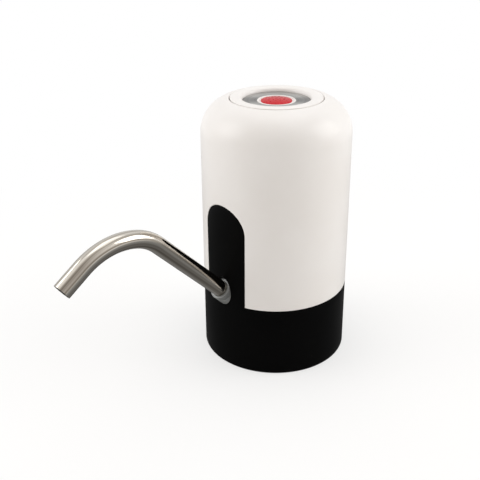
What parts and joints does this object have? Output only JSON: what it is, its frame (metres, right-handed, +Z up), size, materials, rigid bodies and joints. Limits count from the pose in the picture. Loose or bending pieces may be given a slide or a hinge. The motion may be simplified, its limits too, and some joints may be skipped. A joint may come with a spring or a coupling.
{
  "type": "electric water jug pump",
  "caption": "Round white and black battery pump that sits on a water jug's neck, with a bent steel spout, a push key on its dome and a diaphragm pump inside.",
  "frame": {"origin": "centre of the neck socket's mouth, in the plane of the bottom rim", "axes": "+Z up along the body's axis, -Y towards the spout, +X to the right seen from the spout's side"},
  "size_m": [0.074, 0.1615, 0.1315],
  "materials": {
    "white_shell": "satin gloss moulding",
    "black_base": "satin gloss moulding",
    "spout_steel": "polished along the tube",
    "collar_rubber": "soft matt",
    "clear_silicone": "soft matt",
    "black_rubber": "matt",
    "silver_plate": "spun satin",
    "red_lens": "gloss",
    "clear_plastic": "gloss",
    "pump_plastic": "matt",
    "pale_plastic": "matt",
    "frame_plastic": "matt",
    "motor_steel": "plated",
    "magnet": "sintered",
    "screw_steel": "plated",
    "copper_wire": "enamelled",
    "brass": "plain",
    "nickel": "plated",
    "cell_wrap": "shrink film",
    "board_green": "solder resist",
    "chip_black": "matt",
    "wire_red": "satin",
    "wire_black": "satin",
    "wire_yellow": "satin"
  },
  "bodies": {
    "housing": {"base_shell": "black_base", "upper_shell": "white_shell", "neck_gasket": "clear_silicone", "hose_nozzle": "pale_plastic", "nozzle_washer": "clear_silicone", "inlet_oring": "black_rubber", "pump_pad": "black_rubber", "pump_head": "pump_plastic", "valve_plate": "pale_plastic", "inlet_valves": "clear_silicone", "outlet_valves": "clear_silicone", "diaphragm": "black_rubber", "crank_housing": "pump_plastic", "pump_screws": "screw_steel", "outlet_sleeve": "clear_silicone", "spout_collar": "collar_rubber", "motor_can": "motor_steel", "motor_magnets": "magnet", "motor_endcap": "pale_plastic", "motor_terminals": "brass", "motor_screws": "screw_steel", "chassis": "frame_plastic", "chassis_screws": "screw_steel", "battery_cell": "cell_wrap", "battery_tabs": "nickel", "battery_pad": "black_rubber", "top_bracket": "frame_plastic", "bracket_screws": "screw_steel", "control_board": "board_green", "board_chips": "chip_black", "usb_socket": "nickel", "usb_tongue": "chip_black", "indicator_led": "clear_plastic", "light_pipe": "clear_plastic", "board_screws": "screw_steel", "switch_board": "board_green", "switch_board_screws": "screw_steel", "switch_body": "chip_black", "motor_leads": "wire_red", "battery_leads": "wire_black", "switch_leads": "wire_yellow"},
    "button": {"button_cap": "white_shell", "button_plate": "silver_plate", "button_lens": "red_lens", "switch_stem": "pale_plastic"},
    "spout_tube": {"spout": "spout_steel"},
    "rotor": {"motor_shaft": "motor_steel", "rotor_core": "motor_steel", "rotor_windings": "copper_wire", "commutator": "brass", "eccentric_hub": "pale_plastic", "wobble_pin": "motor_steel"},
    "wobble": {"wobble_plate": "pale_plastic"}
  },
  "joints": [
    {"name": "key_press", "type": "slide", "parent": "housing", "child": "button", "axis": [0, 0, -1], "range_m": [0, 0.0005], "stiffness_N_per_m": 2500, "springref_m": -0.0003},
    {"name": "spout_swivel", "type": "hinge", "parent": "housing", "child": "spout_tube", "pos_m": [0, -0.03671, 0.0418], "axis": [0, -0.7022, 0.712], "continuous": true},
    {"name": "motor_spin", "type": "hinge", "parent": "housing", "child": "rotor", "pos_m": [0, 0, 0.06], "axis": [0, 0, 1], "continuous": true},
    {"name": "wobble_roll", "type": "hinge", "parent": "rotor", "child": "wobble", "pos_m": [0, 0, 0.0455], "axis": [0.1219, 0, 0.9925], "continuous": true, "deforming": ["diaphragm"]}
  ],
  "couplings": [
    {"joint": "wobble_roll", "follows": "motor_spin", "ratio": -1}
  ]
}
